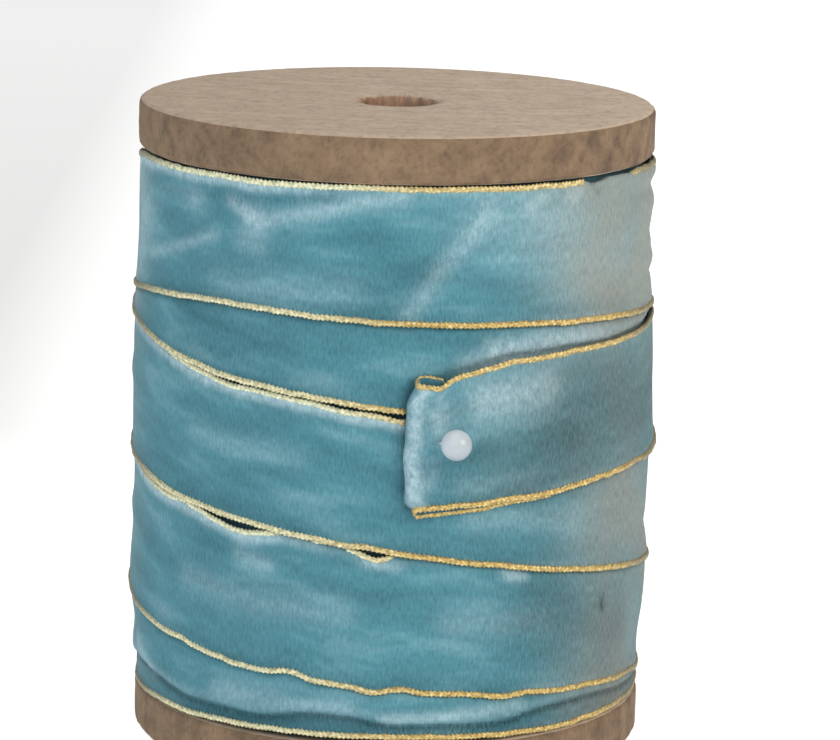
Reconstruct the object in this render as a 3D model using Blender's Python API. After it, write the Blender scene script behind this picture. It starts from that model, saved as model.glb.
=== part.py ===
"""Wooden ribbon spool wound with velvet ribbon, its free end folded under and pinned.

The spool stands on its bottom flange. The origin is the middle of that flange's underside, +Z is the
spool's axis and -Y is the front, where the ribbon's pinned end shows. Everything is in metres.

A place on the ribbon is told by its turn: turn 0 is at the front, and the turns count up the spool by way
of the left side, the back and the right side. The ribbon climbs from turn to turn, and after the last one
its tail comes back down over the others to the front.
"""

import math

import bmesh
import bpy
from mathutils import Matrix, Vector

# The wooden spool.
FLANGE_DIAMETER = 0.070
FLANGE_THICKNESS = 0.0064
FLANGE_EDGE_ROUND = 0.0006
SPOOL_HEIGHT = 0.087
BORE_DIAMETER = 0.0108
CORE_DIAMETER = 0.032
CORE_SEAT_DEPTH = 0.0015

# The ribbon: how wide it is, how far it stands out past the flanges, and how thick its parts are.
RIBBON_WIDTH = 0.019
RIBBON_PROUD = 0.0006
COURSE_DEPTH = 0.0018
COURSE_LEAN = 0.0006
RIBBON_PLY = 0.0007
THREAD_DIAMETER = 0.0009
HEM_LENGTH = 0.020

# How high the ribbon's lower edge lies at each quarter turn, from 0 at the bottom flange to 1 where the
# upper edge meets the top flange: first the course that is wound on the spool, then the tail. Past 1 the
# upper edge is squeezed against the flange.
COURSE_LIFTS = (
    0.002, 0.004, 0.000, 0.016,
    0.046, 0.126, 0.240, 0.277,
    0.315, 0.463, 0.597, 0.650,
    0.698, 0.813, 0.940, 0.958,
    0.965, 1.020, 1.000, 1.000,
)
TAIL_LIFTS = (1.000, 0.830, 0.625, 0.588)
COURSE_START = -0.25
COURSE_END = 4.30
TAIL_START = 4.25
TAIL_HINGE = 4.75
TAIL_FOLD = 4.992

# The pearl-headed pin: where it goes in, and how big it is.
PIN_TURN = 4.966
PIN_ABOVE_EDGE = 0.009
PIN_DIAMETER = 0.0007
PIN_LENGTH = 0.016
PIN_POINT_LENGTH = 0.002
PEARL_DIAMETER = 0.0040
PEARL_SOCKET_DEPTH = 0.0012

# The room left between pieces that touch, and the number of flats round a full turn.
GAP = 0.0003
TURN_STEPS = 48
ROUND_STEPS = 64

FLANGE_RADIUS = FLANGE_DIAMETER / 2
BORE_RADIUS = BORE_DIAMETER / 2
CORE_RADIUS = CORE_DIAMETER / 2
WINDING_BOTTOM = FLANGE_THICKNESS + GAP
WINDING_TOP = SPOOL_HEIGHT - FLANGE_THICKNESS - GAP
COURSE_OUTER = FLANGE_RADIUS + RIBBON_PROUD
COURSE_INNER = COURSE_OUTER - COURSE_DEPTH
WINDING_OUTER = COURSE_INNER - GAP
TAIL_INNER = COURSE_OUTER + GAP
TAIL_OUTER = TAIL_INNER + RIBBON_PLY
HEM_OUTER = TAIL_OUTER + GAP + RIBBON_PLY
EDGE_ROOM = THREAD_DIAMETER + GAP

WOOD = ("aged_wood", (0.46, 0.36, 0.26, 1.0), 0.75, 0.0)
WOOD_CORE = ("raw_wood", (0.62, 0.44, 0.27, 1.0), 0.85, 0.0)
VELVET = ("teal_velvet", (0.10, 0.29, 0.35, 1.0), 0.9, 0.0)
GOLD_THREAD = ("gold_thread", (0.70, 0.52, 0.18, 1.0), 0.4, 0.6)
STEEL = ("pin_steel", (0.72, 0.72, 0.73, 1.0), 0.25, 1.0)
PEARL = ("pearl_bead", (0.86, 0.85, 0.89, 1.0), 0.15, 0.0)


def clear_scene():
    """Take everything out of the scene, the startup cube included."""
    for thing in list(bpy.data.objects):
        bpy.data.objects.remove(thing, do_unlink=True)


def finish_material(finish):
    """Give the named Principled material, made when it is first asked for."""
    name, colour, roughness, metallic = finish
    material = bpy.data.materials.get(name)
    if material is None:
        material = bpy.data.materials.new(name)
        material.use_nodes = True
        shader = material.node_tree.nodes["Principled BSDF"]
        shader.inputs["Base Color"].default_value = colour
        shader.inputs["Roughness"].default_value = roughness
        shader.inputs["Metallic"].default_value = metallic
    return material


def add_object(name, data, finish, parent=None):
    """Link a mesh or curve as an object with one finish."""
    thing = bpy.data.objects.new(name, data)
    bpy.context.scene.collection.objects.link(thing)
    data.materials.append(finish_material(finish))
    if parent is not None:
        thing.parent = parent
        thing.matrix_parent_inverse = Matrix.Translation(parent.location).inverted()
    return thing


def mesh_from(shape, name, smooth=True):
    """Turn a finished bmesh into a mesh with its faces outward and its round faces smooth."""
    bmesh.ops.recalc_face_normals(shape, faces=shape.faces)
    mesh = bpy.data.meshes.new(name)
    shape.to_mesh(mesh)
    shape.free()
    if smooth:
        mesh.shade_smooth()
        mesh.set_sharp_from_angle(angle=math.radians(35))
    return mesh


def place(turn, radius, height):
    """Give the point at a turn, a radius and a height; turn 0 is the front and 0.25 the left side."""
    angle = 2 * math.pi * turn
    return Vector((-radius * math.sin(angle), -radius * math.cos(angle), height))


def between(values, start, turn):
    """Read a smooth curve through values that lie a quarter turn apart, from start onward."""
    where = min(max((turn - start) * 4, 0), len(values) - 1)
    left = min(int(where), len(values) - 2)
    share = where - left
    before = values[max(left - 1, 0)]
    first, second = values[left], values[left + 1]
    after = values[min(left + 2, len(values) - 1)]
    slope_in = (second - before) / 2
    slope_out = (after - first) / 2
    rise = second - first
    return (
        first
        + slope_in * share
        + (3 * rise - 2 * slope_in - slope_out) * share**2
        + (slope_in + slope_out - 2 * rise) * share**3
    )


def edge_height(lift):
    """Turn a lift from 0 to 1 into the height of the ribbon's lower edge."""
    return WINDING_BOTTOM + lift * (WINDING_TOP - WINDING_BOTTOM - RIBBON_WIDTH)


def course_edge(turn):
    """Height of the wound ribbon's lower edge at a turn."""
    return edge_height(between(COURSE_LIFTS, COURSE_START, turn))


def tail_edge(turn):
    """Height of the tail's lower edge at a turn."""
    return edge_height(between(TAIL_LIFTS, TAIL_START, turn))


def course_top(turn):
    """Height of the wound ribbon's upper edge at a turn, which the top flange can hold down."""
    return min(course_edge(turn) + RIBBON_WIDTH, WINDING_TOP)


def course_fabric_top(turn):
    """Height where the wound velvet ends: under the turn above, or at its own upper edge."""
    own_top = course_top(turn) - EDGE_ROOM
    if turn + 1 > COURSE_END:
        return own_top
    return min(own_top, course_edge(turn + 1) - GAP)


def turns_between(first, last):
    """List the turns from first to last, in equal steps of about one flat each."""
    steps = max(1, math.ceil((last - first) * TURN_STEPS))
    return [first + (last - first) * step / steps for step in range(steps + 1)]


def swept_shape(sections):
    """Extrude a first outline through a run of matching outlines into one closed shape."""
    shape = bmesh.new()
    cap = shape.faces.new([shape.verts.new(corner) for corner in sections[0]])
    for number, section in enumerate(sections[1:]):
        grown = bmesh.ops.extrude_face_region(shape, geom=[cap])
        if number > 0 and cap.is_valid:
            shape.faces.remove(cap)
        cap = next(part for part in grown["geom"] if isinstance(part, bmesh.types.BMFace))
        for vertex, corner in zip(cap.verts, section):
            vertex.co = corner
    return shape


def sweep(name, sections, finish, parent=None):
    """Make a piece by sweeping matching outlines into one closed solid."""
    return add_object(name, mesh_from(swept_shape(sections), name), finish, parent)


def turned(name, outline, finish):
    """Spin a closed outline of (radius, height) corners round the spool's axis."""
    shape = bmesh.new()
    corners = [shape.verts.new((radius, 0, height)) for radius, height in outline]
    edges = [shape.edges.new((corners[i - 1], corners[i])) for i in range(len(corners))]
    bmesh.ops.spin(
        shape,
        geom=corners + edges,
        axis=(0, 0, 1),
        cent=(0, 0, 0),
        angle=2 * math.pi,
        steps=ROUND_STEPS,
        use_merge=True,
    )
    return add_object(name, mesh_from(shape, name), finish)


def add_cutter(name, mesh):
    """Link a shape that only cuts others."""
    cutter = bpy.data.objects.new(name, mesh)
    bpy.context.scene.collection.objects.link(cutter)
    cutter.hide_render = True
    cutter.display_type = "WIRE"
    return cutter


def cut(thing, cutter):
    """Take the cutter's shape out of a piece."""
    modifier = thing.modifiers.new(cutter.name, "BOOLEAN")
    modifier.operation = "DIFFERENCE"
    modifier.object = cutter
    return thing


def thread(name, points, parent=None):
    """Run one overlocked edge thread along a list of points."""
    curve = bpy.data.curves.new(name, "CURVE")
    curve.dimensions = "3D"
    curve.bevel_depth = THREAD_DIAMETER / 2
    curve.bevel_resolution = 1
    curve.use_fill_caps = True
    line = curve.splines.new("POLY")
    line.points.add(len(points) - 1)
    for spot, point in zip(line.points, points):
        spot.co = (*point, 1.0)
    return add_object(name, curve, GOLD_THREAD, parent)


def build_spool():
    """Make the two flanges and the core that is glued between them."""
    seat_radius = CORE_RADIUS + GAP
    seat_top = FLANGE_THICKNESS
    seat_floor = FLANGE_THICKNESS - CORE_SEAT_DEPTH
    rim = FLANGE_RADIUS - FLANGE_EDGE_ROUND
    half_round = FLANGE_EDGE_ROUND * (1 - math.sqrt(0.5))
    flange = [
        (BORE_RADIUS, 0),
        (rim, 0),
        (FLANGE_RADIUS - half_round, half_round),
        (FLANGE_RADIUS, FLANGE_EDGE_ROUND),
        (FLANGE_RADIUS, seat_top - FLANGE_EDGE_ROUND),
        (FLANGE_RADIUS - half_round, seat_top - half_round),
        (rim, seat_top),
        (seat_radius, seat_top),
        (seat_radius, seat_floor),
        (BORE_RADIUS, seat_floor),
    ]
    turned("bottom_flange", flange, WOOD)
    turned("top_flange", [(radius, SPOOL_HEIGHT - height) for radius, height in flange], WOOD)
    core_bottom = seat_floor + GAP
    core_top = SPOOL_HEIGHT - core_bottom
    core = [
        (BORE_RADIUS, core_bottom),
        (CORE_RADIUS, core_bottom),
        (CORE_RADIUS, core_top),
        (BORE_RADIUS, core_top),
    ]
    turned("core", core, WOOD_CORE)


def build_winding(pin_slot):
    """Make the hidden layers of ribbon as one body, with the slot that the pin swings in."""
    outline = [
        (CORE_RADIUS + GAP, WINDING_BOTTOM),
        (WINDING_OUTER, WINDING_BOTTOM),
        (WINDING_OUTER, WINDING_TOP),
        (CORE_RADIUS + GAP, WINDING_TOP),
    ]
    cut(turned("ribbon_winding", outline, VELVET), pin_slot)


def build_course(pin_slot):
    """Make the outer course of ribbon, each turn lapping the one below, and its edge threads."""
    sections = []
    last_lapped = COURSE_END - 1
    first_open = last_lapped + 1 / TURN_STEPS
    lapped = turns_between(COURSE_START, last_lapped)
    for turn in lapped + turns_between(first_open, COURSE_END):
        low = course_edge(turn) + EDGE_ROOM
        high = course_fabric_top(turn)
        lean = COURSE_LEAN * (high - low) / RIBBON_WIDTH
        sections.append(
            [
                place(turn, COURSE_INNER, low),
                place(turn, COURSE_OUTER, low),
                place(turn, COURSE_OUTER - lean, high),
                place(turn, COURSE_INNER, high),
            ]
        )
    cut(sweep("ribbon_course", sections, VELVET), pin_slot)
    half = THREAD_DIAMETER / 2
    ring = COURSE_OUTER - half
    lower = [place(t, ring, course_edge(t) + half) for t in turns_between(COURSE_START, COURSE_END)]
    thread("course_lower_thread", lower)
    upper = [
        place(t, ring, course_top(t) - half)
        for t in turns_between(first_open, COURSE_END)
    ]
    thread("course_upper_thread", upper)


def tail_section(turn, inner, outer):
    """Give the outline across the tail's velvet at a turn, between two radii."""
    low = tail_edge(turn) + EDGE_ROOM
    high = tail_edge(turn) + RIBBON_WIDTH - EDGE_ROOM
    return [
        place(turn, inner, low),
        place(turn, outer, low),
        place(turn, outer, high),
        place(turn, inner, high),
    ]


def hem_lift(turn):
    """Tell how far the tail's outer ply stands off to make room for the folded hem, from 0 to 1."""
    hem_turns = HEM_LENGTH / (2 * math.pi * TAIL_INNER)
    hem_end = TAIL_FOLD - hem_turns
    share = (turn - (hem_end - hem_turns / 2)) / (hem_turns / 2)
    share = min(max(share, 0), 1)
    return share * share * (3 - 2 * share)


def build_tail_root():
    """Make the fixed part of the tail, which comes down the back to the right side."""
    end = TAIL_HINGE - GAP / (4 * math.pi * TAIL_INNER)
    turns = turns_between(COURSE_END, end)
    sweep("tail_root", [tail_section(t, TAIL_INNER, TAIL_OUTER) for t in turns], VELVET)
    half = THREAD_DIAMETER / 2
    ring = TAIL_INNER + half
    thread("tail_root_lower_thread", [place(t, ring, tail_edge(t) + half) for t in turns])
    upper = [place(t, ring, tail_edge(t) + RIBBON_WIDTH - half) for t in turns]
    thread("tail_root_upper_thread", upper)


def build_tail(parent, pin_passage):
    """Make the tail's free end, which lifts off the spool, with the hem folded under it."""
    start = TAIL_HINGE + GAP / (4 * math.pi * TAIL_INNER)
    step_out = RIBBON_PLY + GAP
    turns = turns_between(start, TAIL_FOLD)
    sections = []
    for turn in turns:
        stand_off = step_out * hem_lift(turn)
        sections.append(tail_section(turn, TAIL_INNER + stand_off, TAIL_OUTER + stand_off))
    bend_radius = RIBBON_PLY + GAP / 2
    bend_middle = TAIL_INNER + bend_radius
    for quarter in range(1, 4):
        angle = math.pi * quarter / 4
        out_turn = bend_radius * math.sin(angle) / (2 * math.pi * bend_middle)
        in_turn = GAP / 2 * math.sin(angle) / (2 * math.pi * bend_middle)
        low = tail_edge(TAIL_FOLD) + EDGE_ROOM
        high = tail_edge(TAIL_FOLD) + RIBBON_WIDTH - EDGE_ROOM
        near = bend_middle + GAP / 2 * math.cos(angle)
        far = bend_middle + bend_radius * math.cos(angle)
        sections.append(
            [
                place(TAIL_FOLD + in_turn, near, low),
                place(TAIL_FOLD + out_turn, far, low),
                place(TAIL_FOLD + out_turn, far, high),
                place(TAIL_FOLD + in_turn, near, high),
            ]
        )
    hem_turns = HEM_LENGTH / (2 * math.pi * TAIL_INNER)
    for turn in turns_between(TAIL_FOLD - hem_turns, TAIL_FOLD)[::-1]:
        sections.append(tail_section(turn, TAIL_OUTER, TAIL_INNER))
    cut(sweep("ribbon_tail", sections, VELVET, parent), pin_passage)
    half = THREAD_DIAMETER / 2
    rings = [(t, TAIL_INNER + half + step_out * hem_lift(t)) for t in turns]
    lower = [place(t, ring, tail_edge(t) + half) for t, ring in rings]
    thread("tail_lower_thread", lower, parent)
    upper = [place(t, ring, tail_edge(t) + RIBBON_WIDTH - half) for t, ring in rings]
    thread("tail_upper_thread", upper, parent)


def rod_mesh(name, start, direction, outline, steps):
    """Make a round rod along a direction from an outline of (distance, radius) pairs, ends closed."""
    shape = bmesh.new()
    rows = [shape.verts.new((radius, 0, distance)) for distance, radius in outline]
    edges = [shape.edges.new((rows[i], rows[i + 1])) for i in range(len(rows) - 1)]
    bmesh.ops.spin(
        shape,
        geom=rows + edges,
        axis=(0, 0, 1),
        cent=(0, 0, 0),
        angle=2 * math.pi,
        steps=steps,
        use_merge=True,
    )
    bmesh.ops.remove_doubles(shape, verts=shape.verts, dist=1e-6)
    turn_to = Vector((0, 0, 1)).rotation_difference(direction).to_matrix().to_4x4()
    bmesh.ops.transform(shape, matrix=Matrix.Translation(start) @ turn_to, verts=shape.verts)
    return mesh_from(shape, name)


def build_pin(parent, head, inward, pin_passage):
    """Make the pin's shank and the pearl on its head, from the pearl's middle inward."""
    pearl_radius = PEARL_DIAMETER / 2
    socket_end = pearl_radius - PEARL_SOCKET_DEPTH
    shank = [
        (0, 0),
        (0, PIN_DIAMETER / 2),
        (PIN_LENGTH - PIN_POINT_LENGTH, PIN_DIAMETER / 2),
        (PIN_LENGTH, 0),
    ]
    shank_start = head + inward * (socket_end + GAP)
    mesh = rod_mesh("pin_shank", shank_start, inward, shank, 12)
    add_object("pin_shank", mesh, STEEL, parent)
    pearl = bmesh.new()
    bmesh.ops.create_uvsphere(pearl, u_segments=24, v_segments=14, radius=pearl_radius)
    bmesh.ops.translate(pearl, vec=head, verts=pearl.verts)
    cut(add_object("pearl_head", mesh_from(pearl, "pearl_head"), PEARL, parent), pin_passage)


def slot_mesh(hinge, near, far, first_angle, last_angle, middle_height):
    """Make the flat curved slot that the pin sweeps as the tail lifts about its hinge."""
    half_height = PIN_DIAMETER / 2 + GAP
    corners = [
        (near, -half_height),
        (far, -half_height),
        (far, half_height),
        (near, half_height),
    ]
    steps = 24
    sections = []
    for step in range(steps + 1):
        angle = first_angle + (last_angle - first_angle) * step / steps
        ray = Vector((math.cos(angle), math.sin(angle), 0))
        rise = Vector((0, 0, middle_height))
        sections.append([hinge + ray * reach + rise + Vector((0, 0, up)) for reach, up in corners])
    return mesh_from(swept_shape(sections), "pin_slot", smooth=False)


def main():
    """Build the whole part."""
    clear_scene()
    hinge = place(TAIL_HINGE, TAIL_OUTER, 0)
    pin_height = tail_edge(PIN_TURN) + PIN_ABOVE_EDGE
    head = place(PIN_TURN, HEM_OUTER + GAP + PEARL_DIAMETER / 2, pin_height)
    arm = Vector((head.x - hinge.x, head.y - hinge.y, 0))
    inward = Vector((arm.y, -arm.x, 0)).normalized()
    reach = PEARL_DIAMETER / 2 - PEARL_SOCKET_DEPTH + GAP + PIN_LENGTH
    tip = arm + inward * reach

    slot = add_cutter(
        "pin_slot",
        slot_mesh(
            hinge,
            arm.length - PIN_DIAMETER / 2 - GAP,
            tip.length + GAP,
            math.atan2(tip.y, tip.x) - GAP / tip.length,
            math.atan2(arm.y, arm.x) + math.radians(25),
            pin_height,
        ),
    )
    passage_start = head + inward * (PEARL_DIAMETER / 2 - PEARL_SOCKET_DEPTH)
    passage_outline = [
        (0, 0),
        (0, PIN_DIAMETER / 2 + GAP),
        (reach, PIN_DIAMETER / 2 + GAP),
        (reach, 0),
    ]
    passage = add_cutter(
        "pin_passage", rod_mesh("pin_passage", passage_start, inward, passage_outline, 12)
    )

    build_spool()
    build_winding(slot)
    build_course(slot)
    build_tail_root()

    tail_axis = bpy.data.objects.new("tail_axis", None)
    tail_axis.location = hinge
    bpy.context.scene.collection.objects.link(tail_axis)
    build_tail(tail_axis, passage)

    pin_axis = bpy.data.objects.new("pin_axis", None)
    pin_axis.location = head
    pin_axis.parent = tail_axis
    pin_axis.matrix_parent_inverse = Matrix.Translation(hinge).inverted()
    bpy.context.scene.collection.objects.link(pin_axis)
    build_pin(pin_axis, head, inward, passage)


main()
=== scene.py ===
"""Ribbon spool: a velvet ribbon with gold overlocked edges, wound on a turned wooden spool and pinned."""

import logging
import math
from collections.abc import Callable
from dataclasses import dataclass
from enum import Enum
from functools import cached_property

import bmesh
import bpy
import numpy as np
from mathutils import Matrix, Vector, noise


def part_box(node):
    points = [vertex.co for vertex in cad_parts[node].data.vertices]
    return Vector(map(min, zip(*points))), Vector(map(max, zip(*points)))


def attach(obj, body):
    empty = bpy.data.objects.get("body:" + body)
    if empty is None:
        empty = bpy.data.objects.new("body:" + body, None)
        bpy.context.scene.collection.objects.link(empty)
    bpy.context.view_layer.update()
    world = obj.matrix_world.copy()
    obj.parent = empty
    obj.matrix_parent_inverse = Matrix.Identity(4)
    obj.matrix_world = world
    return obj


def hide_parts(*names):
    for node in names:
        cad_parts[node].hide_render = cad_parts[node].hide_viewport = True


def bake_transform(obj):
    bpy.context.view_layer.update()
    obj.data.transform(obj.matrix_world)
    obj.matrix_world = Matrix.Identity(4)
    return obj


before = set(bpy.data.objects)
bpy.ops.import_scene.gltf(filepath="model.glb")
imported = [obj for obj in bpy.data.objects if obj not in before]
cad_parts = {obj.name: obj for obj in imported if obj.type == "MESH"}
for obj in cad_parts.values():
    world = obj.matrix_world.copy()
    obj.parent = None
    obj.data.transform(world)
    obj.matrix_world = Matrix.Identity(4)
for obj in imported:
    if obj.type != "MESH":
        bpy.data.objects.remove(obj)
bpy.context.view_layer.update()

log = logging.getLogger("ribbon_spool")
MM = 0.001
RIBBON_WIDTH = 19.0  # mm, flat
INNER_WIDTH = 18.0  # mm of velvet between the two edge yarns


class Body(Enum):
    """The moving bodies of the part."""

    SPOOL = "spool"
    TAIL = "tail"
    PIN = "pin"


class Edge(Enum):
    """The two long edges of the ribbon, as a share of its width."""

    LOWER = 0.0
    UPPER = 1.0


# ---------------------------------------------------------------- small tools

def linear(hex_colour: str) -> tuple[float, float, float, float]:
    """Turn an sRGB hex colour into linear RGBA.

    Args:
        hex_colour: Six hex digits, with or without a leading hash.

    Returns:
        Red, green, blue and an alpha of 1.
    """
    digits = hex_colour.lstrip("#")
    channels = [int(digits[place:place + 2], 16) / 255 for place in (0, 2, 4)]
    red, green, blue = (c / 12.92 if c <= 0.04045 else ((c + 0.055) / 1.055) ** 2.4 for c in channels)
    return red, green, blue, 1.0


def add_node(tree: bpy.types.NodeTree, kind: str, values: dict | None = None,
             **settings: object) -> bpy.types.Node:
    """Add a node with its settings, and link or set its inputs.

    Args:
        tree: The node tree to add to.
        kind: The node's type name.
        values: Input name or number to a value, or to the output socket that feeds it.
        **settings: Properties of the node; stops fills a colour ramp with (place, hex) pairs.

    Returns:
        The new node.
    """
    node = tree.nodes.new(kind)
    for name, value in settings.items():
        if name == "stops":
            elements = node.color_ramp.elements
            while len(elements) < len(value):
                elements.new(1.0)
            for element, (place, colour) in zip(elements, value):
                element.position, element.color = place, linear(colour)
        else:
            setattr(node, name, value)
    for key, value in (values or {}).items():
        if isinstance(value, bpy.types.NodeSocket):
            tree.links.new(value, node.inputs[key])
        else:
            node.inputs[key].default_value = value
    return node


def smoothstep(value: np.ndarray) -> np.ndarray:
    """Ease a value from 0 to 1 with level ends."""
    share = np.clip(value, 0.0, 1.0)
    return share * share * (3 - 2 * share)


def through(knots: np.ndarray, heights: np.ndarray, places: np.ndarray) -> np.ndarray:
    """Run a smooth curve through a few given values.

    Args:
        knots: Places of the values, rising.
        heights: The values there.
        places: Where the curve is wanted.

    Returns:
        The curve's values at those places.
    """
    slopes = np.gradient(heights, knots)
    number = np.clip(np.searchsorted(knots, places, side="right") - 1, 0, len(knots) - 2)
    span = knots[number + 1] - knots[number]
    share = np.clip((places - knots[number]) / span, 0.0, 1.0)
    square, cube = share ** 2, share ** 3
    return ((2 * cube - 3 * square + 1) * heights[number]
            + (cube - 2 * square + share) * span * slopes[number]
            + (3 * square - 2 * cube) * heights[number + 1] + (cube - square) * span * slopes[number + 1])


def ripple(first: np.ndarray, second: np.ndarray, seed: float) -> np.ndarray:
    """Give smooth noise between about -1 and 1 at pairs of numbers.

    Args:
        first: First number of each pair.
        second: Second number of each pair.
        seed: Picks the pattern.

    Returns:
        One value for each pair.
    """
    return np.array([noise.noise(Vector((a, b, seed))) for a, b in zip(first.tolist(), second.tolist())])


def finish_mesh(shape: bmesh.types.BMesh, name: str, material: bpy.types.Material) -> bpy.types.Object:
    """Turn a bmesh into a smooth-shaded object at the origin.

    Args:
        shape: The finished shape, which is freed.
        name: The piece's name.
        material: Its first material.

    Returns:
        The new object.
    """
    mesh = bpy.data.meshes.new(name)
    shape.to_mesh(mesh)
    shape.free()
    mesh.shade_smooth()
    mesh.materials.append(material)
    piece = bpy.data.objects.new(name, mesh)
    bpy.context.scene.collection.objects.link(piece)
    return piece


def mapped_grid(lengths: int, breadths: int,
                place: Callable[[np.ndarray, np.ndarray], np.ndarray]
                ) -> tuple[bmesh.types.BMesh, np.ndarray, np.ndarray]:
    """Lay a flat grid and carry it onto a surface.

    Args:
        lengths: Faces along.
        breadths: Faces across.
        place: Gives the points for shares along and across, each from 0 to 1.

    Returns:
        The shape, and each vertex's share along and across.
    """
    shape = bmesh.new()
    bmesh.ops.create_grid(shape, x_segments=lengths, y_segments=breadths, size=0.5)
    flat = np.array([vert.co[:2] for vert in shape.verts]) + 0.5
    along, across = np.clip(flat[:, 0], 0, 1), np.clip(flat[:, 1], 0, 1)
    for vert, point in zip(shape.verts, place(along, across).tolist()):
        vert.co = point
    return shape, along, across


def lathe(profile: list[tuple[float, float]], steps: int) -> bmesh.types.BMesh:
    """Spin a closed outline of (radius, height) points about the upright axis.

    Args:
        profile: The outline's points, in order.
        steps: Steps in the full turn.

    Returns:
        The closed shape, faces out.
    """
    shape = bmesh.new()
    verts = [shape.verts.new((radius, 0, height)) for radius, height in profile]
    edges = [shape.edges.new((a, b)) for a, b in zip(verts, verts[1:] + verts[:1])]
    bmesh.ops.spin(shape, geom=verts + edges, cent=(0, 0, 0), axis=(0, 0, 1), angle=math.tau,
                   steps=steps, use_merge=True)
    bmesh.ops.remove_doubles(shape, verts=shape.verts, dist=1e-7)
    bmesh.ops.recalc_face_normals(shape, faces=shape.faces)
    return shape


# ------------------------------------------------------------------- finishes

@dataclass(frozen=True)
class Finish:
    """What every finish shares: a name and a way to start its material."""

    name: str

    def start(self) -> tuple[bpy.types.Material, bpy.types.NodeTree]:
        """Start an empty material.

        Returns:
            The material and its node tree.
        """
        material = bpy.data.materials.new(self.name)
        material.use_nodes = True
        material.node_tree.nodes.clear()
        return material, material.node_tree

    def close(self, tree: bpy.types.NodeTree, surface: dict) -> None:
        """Add the shader and the output.

        Args:
            tree: The material's node tree.
            surface: Shader inputs, each a value or a socket.
        """
        shader = add_node(tree, "ShaderNodeBsdfPrincipled", surface)
        add_node(tree, "ShaderNodeOutputMaterial", {"Surface": shader.outputs["BSDF"]})


@dataclass(frozen=True)
class CrushedVelvet(Finish):
    """Silk velvet, woven with a cut pile and then crushed.

    The pile stands about a millimetre high: where it lies away it looks deep teal, and where it has been
    pressed flat it turns pale and milky.
    """

    deep: str = "417482"
    body: str = "558e9c"
    milky: str = "aecbd6"
    sheen_grey: str = "8a928e"
    pile_mm: float = 0.32
    cloud_mm: float = 9.0

    def material(self) -> bpy.types.Material:
        """Build the material.

        Returns:
            The velvet, which reads the ribbon's own map and three attributes: crushed pile with painted
            highlights, painted shade with darker pile, and painted sheen.
        """
        material, tree = self.start()
        weave = add_node(tree, "ShaderNodeUVMap", uv_map="weave").outputs["UV"]
        # One unit of these coordinates is a millimetre of ribbon; pile streaks run across its width.
        fine = add_node(tree, "ShaderNodeMapping", {"Vector": weave, "Scale": (1000, 260, 1)}).outputs[0]
        broad = add_node(tree, "ShaderNodeMapping", {"Vector": weave, "Scale": (620, 2100, 1)}).outputs[0]
        even = add_node(tree, "ShaderNodeMapping", {"Vector": weave, "Scale": (1000, 800, 1)}).outputs[0]
        pile = add_node(tree, "ShaderNodeTexNoise", {"Vector": fine, "Scale": 1 / self.pile_mm,
                                                     "Detail": 4.0, "Roughness": 0.7}).outputs[0]
        cloud = add_node(tree, "ShaderNodeTexNoise",
                         {"Vector": broad, "Scale": 1 / self.cloud_mm, "Detail": 3.0,
                                                      "Roughness": 0.5, "Distortion": 0.15}).outputs[0]
        mottle = add_node(tree, "ShaderNodeTexNoise", {"Vector": even, "Scale": 0.9, "Detail": 5.0,
                                                       "Roughness": 0.75}).outputs[0]
        # Crushed pile, with painted highlights and painted sheen among its marks.
        crush = add_node(tree, "ShaderNodeAttribute", attribute_name="crush").outputs["Fac"]
        # Painted shade, with some darker pile, as written along the ribbon.
        bruise = add_node(tree, "ShaderNodeAttribute", attribute_name="bruise").outputs["Fac"]
        ash = add_node(tree, "ShaderNodeAttribute", attribute_name="ash").outputs["Fac"]
        # Crushed marks break up into specks at their borders.
        speck = add_node(tree, "ShaderNodeMapRange", {"Value": mottle, "From Min": 0.34, "From Max": 0.66,
                                                      "To Min": 0.55, "To Max": 1.35}).outputs[0]
        marks = add_node(tree, "ShaderNodeMath", {0: crush, 1: speck}, operation="MULTIPLY").outputs[0]
        haze = add_node(tree, "ShaderNodeMapRange", {"Value": cloud, "From Min": 0.54, "From Max": 0.80,
                                                     "To Min": 0.0, "To Max": 0.24}).outputs[0]
        pale = add_node(tree, "ShaderNodeMath", {0: marks, 1: haze}, operation="ADD",
                        use_clamp=True).outputs[0]
        depth = add_node(tree, "ShaderNodeMapRange", {"Value": cloud, "From Min": 0.28, "From Max": 0.60,
                                                      "To Min": 0.15, "To Max": 1.0}).outputs[0]
        ground = add_node(tree, "ShaderNodeMix", {"Factor": depth, "A": linear(self.deep),
                                                  "B": linear(self.body)},
                                                  data_type="RGBA").outputs["Result"]
        lit = add_node(tree, "ShaderNodeMix", {"Factor": pale, "A": ground, "B": linear(self.milky)},
                       data_type="RGBA").outputs["Result"]
        # Painted sheen: the velvet greys where the light grazes it.
        grey = add_node(tree, "ShaderNodeMix", {"Factor": ash, "A": lit, "B": linear(self.sheen_grey)},
                        data_type="RGBA").outputs["Result"]
        shade = add_node(tree, "ShaderNodeMapRange", {"Value": pile, "From Min": 0.25, "From Max": 0.75,
                                                      "To Min": 0.70, "To Max": 1.24}).outputs[0]
        # Painted shade and darker pile dim the colour.
        dim = add_node(tree, "ShaderNodeMath", {0: shade, 1: bruise}, operation="SUBTRACT").outputs[0]
        colour = add_node(tree, "ShaderNodeVectorMath", {0: grey, "Scale": dim},
                          operation="SCALE").outputs[0]
        bump = add_node(tree, "ShaderNodeBump",
                        {"Height": pile, "Strength": 0.35, "Distance": 0.25 * MM}).outputs[0]
        folds = add_node(tree, "ShaderNodeBump", {"Height": mottle, "Strength": 0.4, "Distance": 0.6 * MM,
                                                  "Normal": bump}).outputs[0]
        self.close(tree, {"Base Color": colour, "Roughness": 0.88, "Specular IOR Level": 0.12,
                          "Sheen Weight": 0.22, "Sheen Roughness": 0.4, "Sheen Tint": linear("b9ced6"),
                          "Normal": folds})
        return material


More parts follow.
